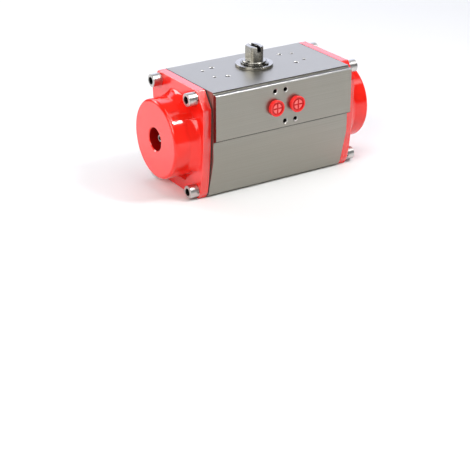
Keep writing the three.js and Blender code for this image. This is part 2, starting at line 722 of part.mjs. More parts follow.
function addSide(side, turn) {
  const group = new THREE.Group();
  group.rotation.z = turn;
  const add = (name, solid, material) => group.add(meshOf(`${name}_${side}`, solid, material));
  add("end_cap", makeEndCap(), finishes.redCoat);
  add("gasket", makeGasket(), finishes.rubber);
  capScrewPlaces.forEach((place, i) => {
    group.add(meshOf(`cap_screw_${side}_${i + 1}`, makeCapScrew(place), finishes.stainless));
    group.add(meshOf(`lock_washer_${side}_${i + 1}`, makeLockWasher(place), finishes.stainless));
  });
  add("stop_screw", makeStopScrew(), finishes.stainless);
  add("stop_nut", makeStopNut(), finishes.stainless);
  add("piston", makePiston(), finishes.castAluminium);
  add("piston_seal", pistonRing(SEAL_GROOVE, SEAL_RADIUS), finishes.rubber);
  add("piston_guide_ring", pistonRing(GUIDE_GROOVE, GUIDE_RADIUS), finishes.whitePlastic);
  add("rack_guide_pad", makeGuidePad(), finishes.whitePlastic);
  add("outer_spring", makeSpring(OUTER_SPRING), finishes.springSteel);
  add("inner_spring", makeSpring(INNER_SPRING), finishes.springSteel);
  actuator.add(group);
}

actuator.add(meshOf("body", makeBody(), finishes.aluminium));
addSide("right", 0);
addSide("left", Math.PI);

actuator.add(
  meshOf("pinion", makePinion(), finishes.steel),
  meshOf("circlip", makeCirclip(), finishes.steel),
  meshOf("top_disc", runningRing(UPPER_JOURNAL, DISC, MANY), finishes.steel),
  meshOf("thrust_ring", runningRing(UPPER_JOURNAL, THRUST_RING), finishes.whitePlastic),
  meshOf("upper_bush", runningRing(UPPER_JOURNAL, UPPER_BUSH), finishes.whitePlastic),
  meshOf("upper_seal", runningRing(UPPER_JOURNAL, UPPER_SEAL), finishes.rubber),
  meshOf("lower_bush", runningRing(LOWER_JOURNAL, LOWER_BUSH), finishes.whitePlastic),
  meshOf("lower_seal", runningRing(LOWER_JOURNAL, LOWER_SEAL), finishes.rubber),
);
actuator.add(
  meshOf("port_plug_a", makePlug(-PORT_SPACING / 2), finishes.redPlastic),
  meshOf("port_plug_b", makePlug(PORT_SPACING / 2), finishes.redPlastic),
);

export default actuator;
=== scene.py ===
"""The looks of a rack-and-pinion pneumatic actuator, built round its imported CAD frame.

Pieces are modelled in millimetres, from sizes that the frame gives and others that follow the
CAD source or the photo, and turned into metres when they are put in place. What is alike at both ends is built for the +X end, and turned half round
the drive shaft for the other."""
import math

import bmesh
import bpy
from mathutils import Matrix, Vector


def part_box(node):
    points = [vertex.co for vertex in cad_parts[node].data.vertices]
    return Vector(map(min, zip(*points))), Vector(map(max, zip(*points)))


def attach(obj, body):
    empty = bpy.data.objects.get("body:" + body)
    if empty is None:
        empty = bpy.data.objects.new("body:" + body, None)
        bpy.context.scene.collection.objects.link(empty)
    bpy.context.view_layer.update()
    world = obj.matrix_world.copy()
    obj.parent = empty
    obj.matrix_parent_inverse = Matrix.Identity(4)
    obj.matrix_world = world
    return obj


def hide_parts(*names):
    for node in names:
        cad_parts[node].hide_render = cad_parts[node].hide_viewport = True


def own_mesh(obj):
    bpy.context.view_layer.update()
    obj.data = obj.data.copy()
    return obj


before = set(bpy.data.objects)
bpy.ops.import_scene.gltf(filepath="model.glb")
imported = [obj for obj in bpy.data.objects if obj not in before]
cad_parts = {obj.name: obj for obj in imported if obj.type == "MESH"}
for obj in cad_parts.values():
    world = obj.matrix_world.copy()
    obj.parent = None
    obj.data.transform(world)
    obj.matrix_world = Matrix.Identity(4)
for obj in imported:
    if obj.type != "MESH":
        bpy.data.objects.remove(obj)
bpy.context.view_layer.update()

MM = 0.001
SIDES = 96  # of a large turned piece
MOST_MATERIALS = 4  # of one piece
# Where a piece's list of materials holds the one for each kind of face. Its skin comes first.
SKIN = 0
# PAINTED_SHADE_FACE marks faces coloured dark as painted shade: hole walls, the shaft's slot and a few
# edge lines.
MILLED_EDGE, PAINTED_SHADE_FACE, PAD_END = 1, 2, 3  # on the housing and the drive shaft
CAP_SIDE, CAP_RECESS = 1, 2
# Faces in and round a screw's socket take painted shade.
SOCKET_SHADE_FACE = 1  # on screws
PLUG_SUNK, PLUG_PAD = 1, 2
HALF_TURN = Matrix.Rotation(math.pi, 4, "Z")
ENDS = ("right", "left")
# Local z becomes the named axis, and local x and y the two after it, in cyclic order.
AXES = {
    "x": Matrix(((0, 0, 1), (1, 0, 0), (0, 1, 0))),
    "y": Matrix(((0, 1, 0), (0, 0, 1), (1, 0, 0))),
    "z": Matrix.Identity(3),
}


# ---- Sizes from the frame, in millimetres ----
def box_mm(node):
    low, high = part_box(node)
    return low / MM, high / MM


body_low, body_high = box_mm("body")
cap_low, cap_high = box_mm("end_cap_right")
screw_boxes = [box_mm(f"cap_screw_right_{i}") for i in (1, 2, 3, 4)]
washer_low, washer_high = box_mm("lock_washer_right_1")
stop_low, stop_high = box_mm("stop_screw_right")
nut_low, nut_high = box_mm("stop_nut_right")
pinion_low, pinion_high = box_mm("pinion")
disc_low, disc_high = box_mm("top_disc")
clip_low, clip_high = box_mm("circlip")
plug_low, plug_high = box_mm("port_plug_a")
piston_low, piston_high = box_mm("piston_right")

TOP = body_high.z
BORE_HEIGHT = TOP / 2
BORE_RADIUS = 42
BODY_END = body_high.x
PORT_FACE = -body_low.y
CAP_END = cap_high.x
FLANGE_INNER = cap_low.x
FLANGE_OUTER = washer_low.x - 0.2
GASKET_OUTER = BODY_END + 0.6  # squeezed thin between the housing and the flange
SHOULDER = cap_high.y  # half the width of the cap at its widest
TOP_HALF_WIDTH = 37
BOSS_RADIUS = 39.5
SCREW_PLACES = [((low + high) / 2).yz for low, high in screw_boxes]
HEAD_RADIUS = (washer_high.z - washer_low.z) / 2
PORTS = [sum(corner.x for corner in box_mm(f"port_plug_{port}")) / 2 for port in "ab"]
PORT_HEIGHT = (plug_low.z + plug_high.z) / 2
SCREW_HOLE_RADIUS = 4.5
STOP_HOLE_RADIUS = 4.3
CORE_RADIUS = {"M4": 1.65, "M5": 2.1, "M6": 2.5, "M8": 3.4}  # of a tapped hole
LEDGE_HEIGHT = 108.3  # of the step along the top face's front edge and the recess round the shaft


# ---- Shapes ----
def mesh_object(name, bm):
    bmesh.ops.recalc_face_normals(bm, faces=bm.faces)
    mesh = bpy.data.meshes.new(name)
    bm.to_mesh(mesh)
    bm.free()
    for _ in range(MOST_MATERIALS):  # empty slots, so that a Boolean keeps each face's index
        mesh.materials.append(None)
    piece = bpy.data.objects.new(name, mesh)
    bpy.context.scene.collection.objects.link(piece)
    return piece


def turned(name, axis, profile, sides=SIDES, centre=(0, 0), materials=0):
    """A solid of revolution. The profile lists (radius, place along the axis), and materials the
    index of each step from one of its points to the next, or of them all."""
    if isinstance(materials, int):
        materials = [materials] * len(profile)
    bm = bmesh.new()
    turn = AXES[axis]
    rings = []
    for radius, along in profile:
        count = sides if radius > 0 else 1
        angles = [2 * math.pi * i / sides for i in range(count)]
        places = [(centre[0] + radius * math.cos(a), centre[1] + radius * math.sin(a)) for a in angles]
        rings.append([bm.verts.new(turn @ Vector((u, v, along))) for u, v in places])
    is_ring = profile[0][0] > 0
    following = rings[1:] + (rings[:1] if is_ring else [])
    alongs = [along for _, along in profile]
    for a, b, index, here, there in zip(rings, following, materials, alongs, alongs[1:] + alongs[:1]):
        if here == there and 1 in (len(a), len(b)):
            bm.faces.new(max(a, b, key=len)).material_index = index
            bm.verts.remove(min(a, b, key=len)[0])
            continue
        for i in range(sides):
            j = (i + 1) % sides
            corners = [a[i % len(a)], a[j % len(a)], b[j % len(b)], b[i % len(b)]]
            corners = list(dict.fromkeys(corners))
            if len(corners) > 2:
                bm.faces.new(corners).material_index = index
    return mesh_object(name, bm)


def prism(name, axis, outline, low, high, sides=0, ends=None):
    """An outline of (u, v) points, extruded along an axis. For x they are (y, z), for y (z, x),
    for z (x, y). sides is the material index of its sides, or a list with one for each, and
    ends that of its two ends."""
    if isinstance(sides, int):
        sides = [sides] * len(outline)
    bm = bmesh.new()
    turn = AXES[axis]
    rings = [[bm.verts.new(turn @ Vector((u, v, w))) for u, v in outline] for w in (low, high)]
    for ring in rings:
        bm.faces.new(ring).material_index = sides[0] if ends is None else ends
    for i, index in enumerate(sides):
        j = (i + 1) % len(outline)
        bm.faces.new((rings[0][i], rings[0][j], rings[1][j], rings[1][i])).material_index = index
    return mesh_object(name, bm)


def block(name, low, high, material=0):
    outline = [(low[0], low[1]), (high[0], low[1]), (high[0], high[1]), (low[0], high[1])]
    return prism(name, "z", outline, low[2], high[2], material)


def rod(axis, radius, low, high, centre=(0, 0), sides=48, material=0):
    profile = [(0, low), (radius, low), (radius, high), (0, high)]
    return turned("rod", axis, profile, sides, centre, material)


def hexagon(across_flats, centre=(0, 0)):
    radius = across_flats / 2 / math.cos(math.pi / 6)
    angles = [math.radians(30 + 60 * i) for i in range(6)]
    return [(centre[0] + radius * math.cos(a), centre[1] + radius * math.sin(a)) for a in angles]


def arc(centre, radius, start, end, steps):
    """Points on an arc, its angles in degrees."""
    angles = [math.radians(start + (end - start) * i / steps) for i in range(steps + 1)]
    return [(centre[0] + radius * math.cos(a), centre[1] + radius * math.sin(a)) for a in angles]


def quadratic(a, control, b, steps):
    """Points on a quadratic curve after its first one."""
    points = []
    for i in range(1, steps + 1):
        t = i / steps
        weights = ((1 - t) ** 2, 2 * t * (1 - t), t * t)
        points.append(tuple(sum(w * p[k] for w, p in zip(weights, (a, control, b))) for k in (0, 1)))
    return points


def apply_modifiers(piece):
    graph = bpy.context.evaluated_depsgraph_get()
    old = piece.data
    piece.data = bpy.data.meshes.new_from_object(piece.evaluated_get(graph))
    piece.modifiers.clear()
    bpy.data.meshes.remove(old)


def combine(piece, tools, operation="DIFFERENCE"):
    for tool in tools:
        modifier = piece.modifiers.new("combine", "BOOLEAN")
        modifier.operation = operation
        modifier.solver = "EXACT"
        modifier.object = tool
    bpy.context.view_layer.update()
    apply_modifiers(piece)
    for tool in tools:
        bpy.data.objects.remove(tool)
    return piece


def cut(piece, *tools):
    return combine(piece, tools)


def join(piece, *tools):
    return combine(piece, tools, "UNION")


def soften(piece, width, segments=3, angle=33):
    """Rounds the piece's edges, inside the box that it had."""
    corners = [vertex.co.copy() for vertex in piece.data.vertices]
    low = [min(corner[k] for corner in corners) for k in range(3)]
    high = [max(corner[k] for corner in corners) for k in range(3)]
    bm = bmesh.new()
    bm.from_mesh(piece.data)
    bmesh.ops.remove_doubles(bm, verts=bm.verts, dist=0.01)
    bmesh.ops.dissolve_degenerate(bm, dist=0.01, edges=bm.edges)
    bm.to_mesh(piece.data)
    bm.free()
    bevel = piece.modifiers.new("soften", "BEVEL")
    bevel.width = width
    bevel.segments = segments
    bevel.limit_method = "ANGLE"
    bevel.angle_limit = math.radians(angle)
    bevel.use_clamp_overlap = False
    bevel.miter_outer = "MITER_ARC"
    apply_modifiers(piece)
    for vertex in piece.data.vertices:
        vertex.co = [min(max(place, low[k]), high[k]) for k, place in enumerate(vertex.co)]
    return piece


def shade(piece):
    mesh = piece.data
    for polygon in mesh.polygons:
        polygon.use_smooth = True
    mesh.set_sharp_from_angle(angle=math.radians(40))
    weighted = piece.modifiers.new("flat faces first", "WEIGHTED_NORMAL")
    weighted.keep_sharp = True
    weighted.weight = 80
    apply_modifiers(piece)


def put(piece, node, body, materials, turn=None):
    """Makes the piece the look of a CAD node, in metres, and lets it ride on its CAD body."""
    name = node + "_look"
    if turn is not None:
        piece.data.transform(turn)
    shade(piece)
    piece.data.transform(Matrix.Scale(MM, 4))
    piece.name = name
    piece.data.name = name
    for index in range(MOST_MATERIALS):
        piece.data.materials[index] = materials[min(index, len(materials) - 1)]
    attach(piece, body)
    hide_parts(node)
    return piece


def put_at_both_ends(piece, name, body, materials, number=""):
    """Puts a copy of the piece at the +X end and the piece itself at the other, and lists the
    two in the order of ENDS. body may hold {end}."""
    copy = piece.copy()
    copy.data = piece.data.copy()
    bpy.context.scene.collection.objects.link(copy)
    return [
        put(here, f"{name}_{end}{number}", body.format(end=end), materials, turn)
        for end, here, turn in zip(ENDS, (copy, piece), (None, HALF_TURN))
    ]


# ---- Materials ----
class Surface:
    """A principled material and the few kinds of node that it is built from."""

    def __init__(self, name, metallic=0.0, **constants):
        self.material = bpy.data.materials.new(name)
        self.material.use_nodes = True
        self.tree = self.material.node_tree
        self.shader = self.tree.nodes["Principled BSDF"]
        self.shader.inputs["Metallic"].default_value = metallic
        for socket, value in constants.items():
            self.shader.inputs[socket.replace("_", " ")].default_value = value

    def node(self, kind, links=None, **settings):
        made = self.tree.nodes.new("ShaderNode" + kind)
        for name, value in settings.items():
            if hasattr(made, name):
                setattr(made, name, value)
            else:
                made.inputs[name.replace("_", " ")].default_value = value
        for name, source in (links or {}).items():
            self.tree.links.new(source, made.inputs[name])
        return made

    def noise(self, scale, stretch=(1, 1, 1), detail=3.0):
        """Noise over the object's own coordinates, in metres, stretched by three factors."""
        place = self.node("TexCoord")
        mapping = self.node("Mapping", {"Vector": place.outputs["Object"]}, Scale=stretch)
        made = self.node("TexNoise", {"Vector": mapping.outputs[0]}, Scale=scale, Detail=detail)
        made.inputs["Roughness"].default_value = 0.55
        return made.outputs["Fac"]

    def span(self, value, low, high, start=0.3, end=0.7):
        made = self.node("MapRange", {"Value": value})
        made.inputs["From Min"].default_value = start
        made.inputs["From Max"].default_value = end
        made.inputs["To Min"].default_value = low
        made.inputs["To Max"].default_value = high
        return made.outputs["Result"]

    def mix(self, factor, a, b):
        """A colour between a and b, each of which is a colour or a socket."""
        made = self.node("Mix", data_type="RGBA", clamp_factor=True)
        self.tree.links.new(factor, made.inputs["Factor"])
        for socket, value in zip((made.inputs[6], made.inputs[7]), (a, b)):
            if isinstance(value, tuple):
                socket.default_value = (*value, 1)
            else:
                self.tree.links.new(value, socket)
        return made.outputs[2]

    def edges(self, radius, start=0.02, end=0.2):
        """1 along worn edges and 0 on flat stretches."""
        rounded = self.node("Bevel", samples=4)
        rounded.inputs["Radius"].default_value = radius * MM
        plain = self.node("NewGeometry")
        dot = self.node("VectorMath", operation="DOT_PRODUCT")
        self.tree.links.new(rounded.outputs[0], dot.inputs[0])
        self.tree.links.new(plain.outputs["Normal"], dot.inputs[1])
        return self.span(dot.outputs["Value"], 1, 0, 1 - end, 1 - start)

    def bump(self, *layers):
        """Stacks bump layers of (height socket, strength, depth in mm)."""
        normal = None
        for height, strength, depth in layers:
            made = self.node("Bump", {"Height": height}, Strength=strength, Distance=depth * MM)
            if normal is not None:
                self.tree.links.new(normal, made.inputs["Normal"])
            normal = made.outputs[0]
        self.tree.links.new(normal, self.shader.inputs["Normal"])

    def color(self, socket):
        self.tree.links.new(socket, self.shader.inputs["Base Color"])

    def roughness(self, socket):
        self.tree.links.new(socket, self.shader.inputs["Roughness"])


def extruded_aluminium():
    """Satin extruded aluminium, with fine die lines along X and faint cloudy patches."""
    s = Surface("extruded aluminium", metallic=1.0)
    lines = s.noise(60, (0.06, 22, 22), detail=4)
    clouds = s.noise(28, (0.5, 1.2, 1.2), detail=2)
    grain = s.noise(2600, detail=2)
    worn = s.edges(0.5)
    tone = s.mix(s.span(lines, 0, 1), (0.30, 0.288, 0.252), (0.355, 0.342, 0.305))
    tone = s.mix(s.span(clouds, 0, 0.6), tone, (0.325, 0.308, 0.268))
    s.color(s.mix(worn, tone, (0.56, 0.55, 0.53)))
    s.roughness(s.span(lines, 0.33, 0.43))
    s.bump((lines, 0.25, 0.02), (grain, 0.35, 0.012))
    return s.material


def pad_end_painted_reflection():
    """The ends of the port pad, dark and tinted red: a painted reflection of the red end caps."""
    s = Surface("pad end painted reflection", metallic=1.0)
    marks = s.noise(300, (1, 6, 0.3), detail=3)
    # Painted reflection: a dark red tint for the red flanges mirrored in these faces.
    s.color(s.mix(s.span(marks, 0, 1), (0.13, 0.05, 0.046), (0.18, 0.075, 0.068)))
    s.roughness(s.span(marks, 0.14, 0.22))
    s.bump((marks, 0.15, 0.01))
    return s.material


def machined_edge():
    """Freshly milled aluminium on chamfers and hole mouths."""
    s = Surface("milled aluminium", metallic=1.0)
    marks = s.noise(400, (0.1, 4, 4), detail=3)
    s.color(s.mix(s.span(marks, 0, 1), (0.50, 0.49, 0.47), (0.64, 0.63, 0.61)))
    s.roughness(s.span(marks, 0.28, 0.38))
    s.bump((marks, 0.2, 0.01))
    return s.material


def hole_painted_shade():
    """Tapped holes, and a few edge lines of the housing, with painted shade: darker than the faces
    round them.
    """
    s = Surface("tapped hole", metallic=1.0)
    turns = s.noise(900, detail=2)
    # Painted shade: near black inside the holes.
    s.color(s.mix(s.span(turns, 0, 1), (0.05, 0.048, 0.045), (0.11, 0.108, 0.10)))
    s.roughness(s.span(turns, 0.35, 0.6))
    s.bump((turns, 0.3, 0.05))
    return s.material


def red_coating(name, dull, fresh, coat, index, gloss=0.17):
    """Glossy powder coat with orange peel, paler where it is thin on the edges."""
    s = Surface(name, Coat_Weight=coat, Coat_Roughness=gloss, Coat_IOR=index, Specular_IOR_Level=0.0)
    peel = s.noise(650, detail=1.5)
    clouds = s.noise(45, detail=2)
    worn = s.edges(0.9, 0.03, 0.35)
    tone = s.mix(s.span(clouds, 0, 1), dull, fresh)
    s.color(s.mix(s.span(worn, 0, 0.4, 0, 1), tone, (0.95, 0.10, 0.06)))
    s.roughness(s.span(clouds, 0.30, 0.40))
    s.bump((peel, 0.12, 0.08), (clouds, 0.1, 0.1))
    return s.material


def stainless():
    """Turned stainless steel with a bright, faintly streaked skin."""
    s = Surface("stainless steel", metallic=1.0)
    streaks = s.noise(900, (6, 0.4, 0.4), detail=3)
    worn = s.edges(0.3)
    tone = s.mix(s.span(streaks, 0, 1), (0.50, 0.49, 0.465), (0.64, 0.63, 0.61))
    s.color(s.mix(worn, tone, (0.80, 0.79, 0.78)))
    s.roughness(s.span(streaks, 0.3, 0.42))
    s.bump((streaks, 0.15, 0.01))
    return s.material


def socket_painted_shade():
    """Painted shade, near black, for the inside of a hexagon socket and its lead-in, and of the drive
    shaft's slot and hole.
    """
    s = Surface("socket painted shade", metallic=1.0)
    film = s.noise(500, detail=3)
    # Painted shade: near black steel where the socket is only in shadow.
    s.color(s.mix(s.span(film, 0, 1), (0.012, 0.011, 0.010), (0.035, 0.033, 0.030)))
    s.roughness(s.span(film, 0.4, 0.6))
    s.bump((film, 0.2, 0.03))
    return s.material


def shaft_steel(name, dull, bright):
    """Ground and plated steel, with fine rings round the shaft."""
    s = Surface(name, metallic=1.0)
    rings = s.noise(500, (0.3, 0.3, 8), detail=3)
    tone = s.mix(s.span(rings, 0, 1), dull, bright)
    s.color(s.mix(s.edges(0.25), tone, (0.52, 0.51, 0.48)))
    s.roughness(s.span(rings, 0.22, 0.3))
    s.bump((rings, 0.1, 0.006))
    return s.material


def cast_aluminium():
    """Die-cast aluminium with a fine sandy skin."""
    s = Surface("cast aluminium", metallic=1.0)
    sand = s.noise(1400, detail=3)
    flow = s.noise(60, detail=3)
    tone = s.mix(s.span(flow, 0, 1), (0.42, 0.43, 0.44), (0.54, 0.55, 0.56))
    s.color(s.mix(s.edges(0.4), tone, (0.7, 0.7, 0.7)))
    s.roughness(s.span(flow, 0.42, 0.58))
    s.bump((sand, 0.4, 0.04))
    return s.material


def spring_wire():
    """Dark phosphate coated spring wire, drawn along its length."""
    s = Surface("spring wire", metallic=0.85)
    scale = s.noise(700, detail=4)
    s.color(s.mix(s.span(scale, 0, 1), (0.05, 0.055, 0.06), (0.14, 0.145, 0.15)))
    s.roughness(s.span(scale, 0.35, 0.55))
    s.bump((scale, 0.3, 0.03))
    return s.material


def rubber(name="nitrile rubber", shade_of=0.016):
    """Matt black rubber with a mould's fine bloom."""
    s = Surface(name)
    bloom = s.noise(500, detail=4)
    pale = shade_of * 2.4
    s.color(s.mix(s.span(bloom, 0, 1), (shade_of,) * 3, (pale,) * 3))
    s.roughness(s.span(bloom, 0.55, 0.75))
    s.bump((bloom, 0.25, 0.03))
    return s.material


def acetal():
    """Natural white acetal, machined, slightly waxy."""
    s = Surface("white acetal", Subsurface_Weight=0.08, Subsurface_Scale=0.001)
    marks = s.noise(800, (1, 1, 5), detail=3)
    s.color(s.mix(s.span(marks, 0, 1), (0.66, 0.63, 0.55), (0.76, 0.73, 0.66)))
    s.roughness(s.span(marks, 0.38, 0.52))
    s.bump((marks, 0.2, 0.015))
    return s.material


def red_plastic(name, dull, fresh, edge):
    """Moulded red polyethylene, with soft sheen and slightly whitened edges."""
    s = Surface(name)
    skin = s.noise(900, detail=3)
    flow = s.noise(120, detail=2)
    tone = s.mix(s.span(flow, 0, 1), dull, fresh)
    s.color(s.mix(s.span(s.edges(0.35), 0, 0.5, 0, 1), tone, edge))
    s.roughness(s.span(skin, 0.28, 0.4))
    s.bump((skin, 0.15, 0.02))
    return s.material


ALUMINIUM = extruded_aluminium()
MILLED = machined_edge()
PAD_END_PAINTED_REFLECTION = pad_end_painted_reflection()
HOLE_PAINTED_SHADE = hole_painted_shade()
RED = red_coating("red powder coat", (0.86, 0.008, 0.003), (0.92, 0.013, 0.006), 1.0, 1.95)
# Painted light: a copy of the red coat for the boss's sides and foot, a little more orange and with a
# weaker coat, so they show less reflection than the faces.
SIDE_RED_PAINTED_LIGHT = red_coating("red side coat painted to the light", (0.86, 0.012, 0.005), (0.92, 0.019, 0.009), 1.0, 1.55, 0.12)
# Painted shade: a darkened copy of the red coat for the cap's recess.
RECESS_PAINTED_SHADE_RED = red_coating("red recess painted shade", (0.22, 0.001, 0.001), (0.30, 0.002, 0.002), 0.3, 1.4)
STAINLESS = stainless()
SOCKET_PAINTED_SHADE = socket_painted_shade()
SHAFT = shaft_steel("shaft steel", (0.30, 0.29, 0.26), (0.38, 0.37, 0.34))
CLIP = shaft_steel("spring clip steel", (0.22, 0.215, 0.20), (0.30, 0.295, 0.28))
CAST = cast_aluminium()
SPRING = spring_wire()
RUBBER = rubber()
GASKET = rubber("gasket sheet", 0.03)
ACETAL = acetal()
# Three copies of one red polyethylene: the plug's skin, its pads pale pink as a painted highlight, and
# its groove and recess darkened as painted shade.
PLASTIC, PAD_PAINTED_HIGHLIGHT_PLASTIC, SUNK_PAINTED_SHADE_PLASTIC = (
    red_plastic(f"{kind} polyethylene", dull, fresh, edge)
    for kind, dull, fresh, edge in (
        ("red", (0.80, 0.010, 0.010), (0.88, 0.022, 0.018), (0.98, 0.22, 0.18)),
        ("painted highlight", (0.90, 0.13, 0.125), (0.95, 0.19, 0.18), (0.97, 0.30, 0.28)),
        ("sunk", (0.62, 0.000, 0.001), (0.74, 0.001, 0.002), (0.8, 0.01, 0.01)),
    )
)


# ---- Housing ----
def back_side():
    """The outline's +Y side in (y, z), from the sole to the top face. The caps have it on both
    sides."""
    foot, taper_end, widest = (36.5, 0), (40.6, 6), (SHOULDER, 93.5)
    return [foot, taper_end, *quadratic(taper_end, (47.4, 34), widest, 24), (TOP_HALF_WIDTH, TOP)]


def mirrored(points):
    return [(-y, z) for y, z in reversed(points)]


def tapped_hole(axis, radius, mouth, bottom, centre):
    """A cutter for a hole with a chamfered mouth and a drilled cone at its bottom."""
    way = math.copysign(1, mouth - bottom)
    chamfer = radius * 0.3
    profile = [
        (0, bottom - way * radius * 0.6),
        (radius, bottom),
        (radius, mouth - way * chamfer),
        (radius + chamfer, mouth),
        (radius + chamfer, mouth + way),
        (0, mouth + way),
    ]
    # The hole's wall and its drilled cone take painted shade.
    return turned("hole", axis, profile, 40, centre, [PAINTED_SHADE_FACE] * 2 + [MILLED_EDGE] * 3)


def paint_reflection_on_pad_ends(piece):
    """Parts the thick pad of the port face from the rest of the two ends, for its painted dark red
    reflection of the end caps.
    """
    pad_back, pad_bottom = -50.4, 60
    bm = bmesh.new()
    bm.from_mesh(piece.data)
    everything = bm.verts[:] + bm.edges[:] + bm.faces[:]
    bmesh.ops.bisect_plane(bm, geom=everything, plane_co=(0, pad_back, 0), plane_no=(0, 1, 0))
    for face in bm.faces:
        place = face.calc_center_median()
        # The pad's end faces get the painted reflection.
        if abs(face.normal.x) > 0.9 and place.y < pad_back and place.z > pad_bottom:
            face.material_index = PAD_END
    bm.to_mesh(piece.data)
    bm.free()


def make_body():
    steps = 6  # in each curve
    top_edge, ledge_middle, ledge_edge = (-50, TOP), (-53, LEDGE_HEIGHT), (-54, LEDGE_HEIGHT)
    pad_bottom, pad_foot = (-PORT_FACE, 63.6), (-50.2, 59.8)
    front = [
        top_edge,
        (-50, TOP - 0.7),
        (-50, LEDGE_HEIGHT),
        ledge_middle,
        ledge_edge,
        *quadratic(ledge_edge, (-55.2, 108.1), (-PORT_FACE, 106.9), steps),
        pad_bottom,
        *quadratic(pad_bottom, (-55.35, 62.3), (-54.2, 61.8), steps),
        pad_foot,
        (-50.2, 41),
        (-40.5, 4),
        (-37, 0),
    ]
    outline = back_side() + front
    # Painted shade: thin dark lines along the top face's front edge, on the ledge and under the pad
    # take the holes' painted shade.
    sides = [SKIN] * len(outline)
    for corner in (top_edge, ledge_middle):
        sides[outline.index(corner)] = PAINTED_SHADE_FACE
    last = outline.index(pad_foot)
    sides[last - steps + 1 : last] = [PAINTED_SHADE_FACE] * (steps - 1)
    first = outline.index(ledge_edge)
    sides[first : first + steps] = [MILLED_EDGE] * steps
    piece = prism("body", "x", outline, -BODY_END, BODY_END, sides, SKIN)
    paint_reflection_on_pad_ends(piece)
    beyond = BODY_END + 1
    cutters = [
        rod("x", BORE_RADIUS, -beyond, beyond, (0, BORE_HEIGHT), 128, MILLED_EDGE),
        rod("z", 15, 90, TOP + 1, material=MILLED_EDGE),
        rod("z", 18.4, LEDGE_HEIGHT, TOP + 1, sides=64, material=MILLED_EDGE),
        rod("z", 20, -1, 20, sides=64, material=MILLED_EDGE),
    ]
    for x in (-1, 1):
        for y in (-1, 1):
            cutters.append(tapped_hole("z", CORE_RADIUS["M5"], TOP, TOP - 10, (x * 40, y * 15)))
            cutters.append(tapped_hole("z", CORE_RADIUS["M4"], TOP, TOP - 8, (x * 52.4, y * 11)))
            for circle, thread, depth in ((70, "M8", 14), (50, "M6", 10)):
                off = circle / 2 * math.sqrt(0.5)
                cutters.append(tapped_hole("z", CORE_RADIUS[thread], 0, depth, (x * off, y * off)))
        for y, z in SCREW_PLACES:
            cutters.append(tapped_hole("x", 4.2, x * BODY_END, x * (BODY_END - 21), (y, z)))
    face, away, port_radius = -PORT_FACE, 16, 5.9
    for x, up in ((PORTS[0], away), (0, away), (0, -away), (PORTS[1], -away)):
        cutters.append(tapped_hole("y", CORE_RADIUS["M5"], face, face + 9, (PORT_HEIGHT + up, x)))
    for x, bottom in zip(PORTS, (-26, -45)):
        cutters.append(tapped_hole("y", port_radius, face, bottom, (PORT_HEIGHT, x)))
    cut(piece, *cutters)
    soften(piece, 0.2, 2, 30)
    finish = [ALUMINIUM, MILLED, HOLE_PAINTED_SHADE, PAD_END_PAINTED_REFLECTION]
    put(piece, "body", "housing", finish)


def boss_foot():
    """The flared foot of the boss, less a pocket round each screw."""
    start, end = FLANGE_OUTER - 1, FLANGE_OUTER + 15
    inside, widest, pocket = BOSS_RADIUS - 4, 45.5, 21
    bottom, top = (widest, FLANGE_OUTER), (BOSS_RADIUS - 1.2, end)
    flare = quadratic(bottom, (40.2, FLANGE_OUTER + 4), top, 12)
    profile = [(inside, start), (widest, start), bottom, *flare, (inside, end)]
    foot = turned("foot", "x", profile, 128, (0, BORE_HEIGHT), CAP_SIDE)
    pockets = [rod("x", pocket, start - 1, CAP_END, place, 96, CAP_SIDE) for place in SCREW_PLACES]
    return cut(foot, *pockets)


def make_end_caps():
    outline = back_side() + mirrored(back_side())
    flange = prism("flange", "x", outline, GASKET_OUTER + 0.05, FLANGE_OUTER)
    soften(flange, 0.7, 3, 33)
    edge = 2.8
    rounding = arc((CAP_END - edge, BOSS_RADIUS - edge), edge, 90, 0, 8)
    profile = [(0, FLANGE_INNER + 1), (BOSS_RADIUS, FLANGE_INNER + 1)]
    profile += [(radius, along) for along, radius in rounding] + [(0, CAP_END)]
    sides = [CAP_SIDE] * (len(profile) - 2) + [SKIN]
    boss = turned("boss", "x", profile, 128, (0, BORE_HEIGHT), sides)
    piece = join(flange, boss, boss_foot())
    wide, narrow, wall = 34.4, 15.5, 5
    chamber = turned(
        "chamber",
        "x",
        [
            (0, FLANGE_INNER - 1),
            (wide, FLANGE_INNER - 1),
            (wide, CAP_END - wall),
            (narrow, CAP_END - wall),
            (narrow, CAP_END - 28),
            (0, CAP_END - 28),
        ],
        SIDES,
        (0, BORE_HEIGHT),
    )
    depth, floor, mouth, chamfer = 20, 11.3, 11.5, 0.8  # floor and mouth are radii
    recess = turned(
        "recess",
        "x",
        [
            (0, CAP_END - depth),
            (floor, CAP_END - depth),
            (mouth, CAP_END - chamfer),
            (mouth + chamfer, CAP_END),
            (mouth + chamfer, CAP_END + 1),
            (0, CAP_END + 1),
        ],
        64,
        (0, BORE_HEIGHT),
        # The recess's floor and wall take painted shade.
        [CAP_RECESS] * 2 + [CAP_SIDE] * 3,
    )
    low, high = FLANGE_INNER - 1, FLANGE_OUTER + 1
    holes = [rod("x", SCREW_HOLE_RADIUS, low, high, place, 32) for place in SCREW_PLACES]
    stop_hole = rod("x", STOP_HOLE_RADIUS, BODY_END, CAP_END, (0, BORE_HEIGHT), 32)
    cut(piece, chamber, recess, stop_hole, *holes)
    put_at_both_ends(piece, "end_cap", "housing", [RED, SIDE_RED_PAINTED_LIGHT, RECESS_PAINTED_SHADE_RED])


